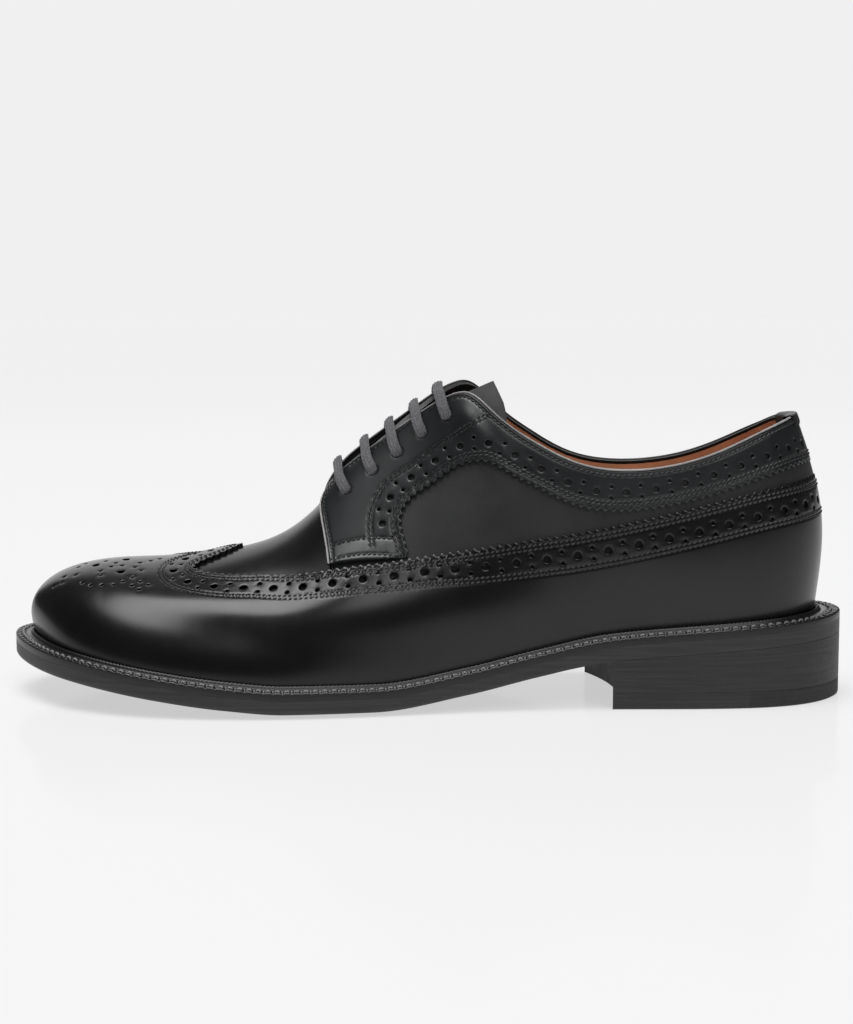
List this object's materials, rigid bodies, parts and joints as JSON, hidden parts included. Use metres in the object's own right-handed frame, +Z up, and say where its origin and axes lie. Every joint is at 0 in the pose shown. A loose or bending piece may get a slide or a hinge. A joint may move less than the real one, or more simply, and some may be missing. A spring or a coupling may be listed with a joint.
{
  "type": "brogue derby",
  "caption": "Left black leather derby with a long wing overlay, open-laced facings with a collar band, storm welt, leather sole and stacked heel.",
  "frame": {"origin": "on the floor under the middle of the shoe's bounding box", "axes": "+X from toe to heel, +Y from the outer to the inner side of the foot, +Z up from the floor"},
  "size_m": [0.305, 0.106, 0.1139],
  "materials": {
    "wing": "polished black calf",
    "facing_outer": "polished black calf",
    "facing_inner": "polished black calf",
    "heel_tab": "polished black calf",
    "upper": "black leather outside, tan lining inside",
    "tongue": "matte black leather",
    "insole": "tan sock leather",
    "welt": "waxed black edge",
    "outsole": "waxed black edge",
    "heel_stack": "waxed black layers",
    "top_lift": "waxed black layer",
    "rubber_tip": "matte black rubber",
    "lace": "waxed black cotton"
  },
  "bodies": {
    "root": {"wing": "wing", "facing_outer": "facing_outer", "facing_inner": "facing_inner", "heel_tab": "heel_tab", "upper": "upper", "tongue": "tongue", "insole": "insole", "welt": "welt", "outsole": "outsole", "heel_stack": "heel_stack", "top_lift": "top_lift", "rubber_tip": "rubber_tip", "lace_bar_1": "lace", "lace_bar_2": "lace", "lace_bar_3": "lace", "lace_bar_4": "lace", "lace_bar_5": "lace"}
  },
  "joints": []
}
